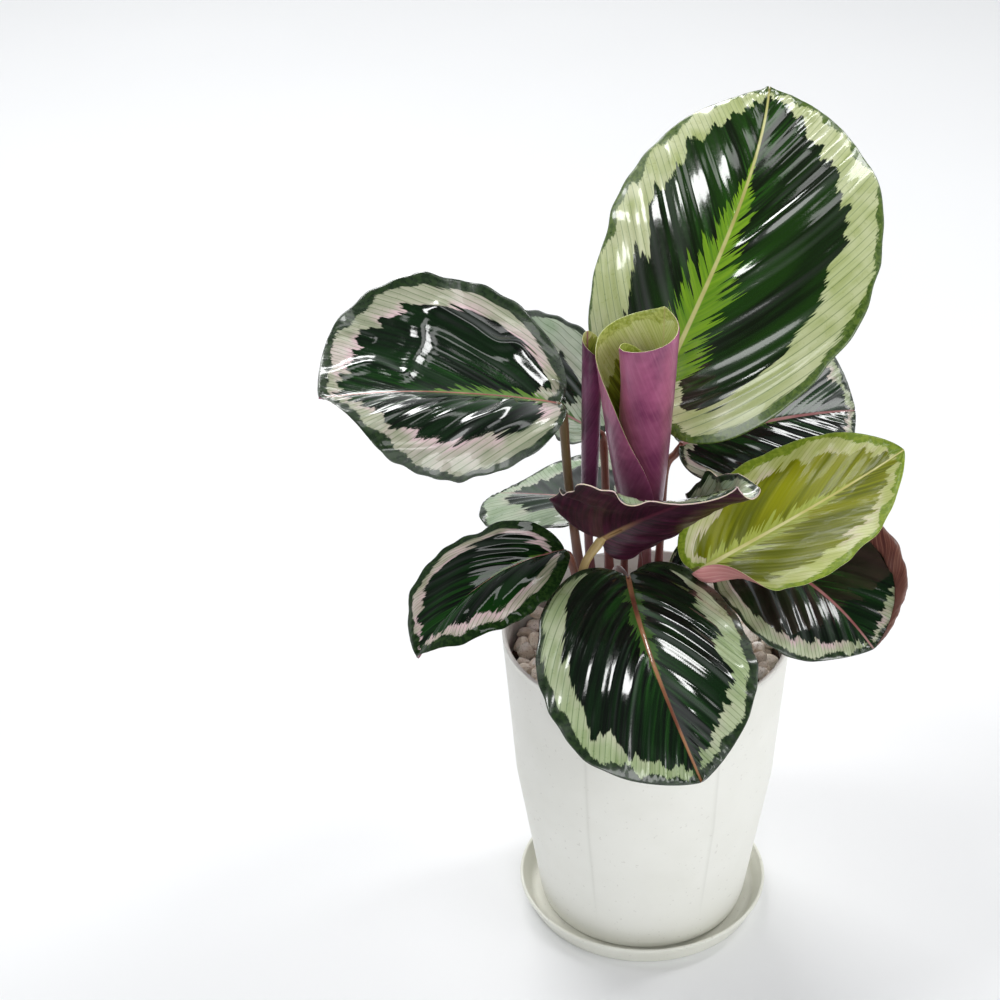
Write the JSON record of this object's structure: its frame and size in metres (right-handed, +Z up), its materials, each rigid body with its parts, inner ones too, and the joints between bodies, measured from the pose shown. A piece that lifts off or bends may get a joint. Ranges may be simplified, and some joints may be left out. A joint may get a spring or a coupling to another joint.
{
  "type": "potted calathea",
  "caption": "Leafy calathea houseplant with broad painted leaves and rolled new leaves in a tapered plastic pot, dressed with pebbles, standing in a round saucer.",
  "frame": {"origin": "centre of the saucer's underside, on the surface that the pot and saucer stand on", "axes": "+Z up, -Y towards the front leaf that hangs over the rim, +X to the right of that view"},
  "size_m": [0.3034, 0.3155, 0.424],
  "materials": {
    "plastic": "satin, off-white with a trace of green",
    "soil": "matte, crumbly peat and bark mix",
    "crown": "matte, fibrous",
    "pebble": "matte, porous pumice",
    "leaf": "glossy, near-black green centre, silver-green ring, dark green margin, pleated along the veins",
    "leaf_young": "glossy, yellow-green with a paler ring",
    "leaf_underside": "satin, dark burgundy underside",
    "leaf_roll": "satin, mauve outside and yellow-green inside",
    "petiole": "satin, red-brown to mauve",
    "petiole_green": "satin, yellow-green turning red-brown at the foot"
  },
  "bodies": {
    "root": {"saucer": "plastic", "pot": "plastic", "soil": "soil", "crown": "crown", "pebble_bed": "pebble", "pebble_01": "pebble", "pebble_02": "pebble", "pebble_03": "pebble", "pebble_04": "pebble", "pebble_05": "pebble", "pebble_06": "pebble", "pebble_07": "pebble", "pebble_08": "pebble", "pebble_09": "pebble", "pebble_10": "pebble", "pebble_11": "pebble", "pebble_12": "pebble", "pebble_13": "pebble", "pebble_14": "pebble", "pebble_15": "pebble", "pebble_16": "pebble", "leaf_tall_blade": "leaf", "leaf_left_blade": "leaf", "leaf_left_back_blade": "leaf", "leaf_back_blade": "leaf", "leaf_front_left_blade": "leaf", "leaf_front_blade": "leaf", "leaf_young_blade": "leaf_young", "leaf_right_low_blade": "leaf", "leaf_right_back_blade": "leaf", "leaf_inner_blade": "leaf_underside", "leaf_tall_petiole": "petiole", "leaf_left_petiole": "petiole_green", "leaf_left_back_petiole": "petiole", "leaf_back_petiole": "petiole", "leaf_front_left_petiole": "petiole", "leaf_front_petiole": "petiole", "leaf_young_petiole": "petiole_green", "leaf_right_low_petiole": "petiole", "leaf_right_back_petiole": "petiole", "leaf_inner_petiole": "petiole_green", "roll_wide_blade": "leaf_roll", "roll_thin_blade": "leaf_roll", "shoot": "leaf_roll", "roll_wide_stem": "petiole", "roll_thin_stem": "petiole"}
  },
  "joints": []
}
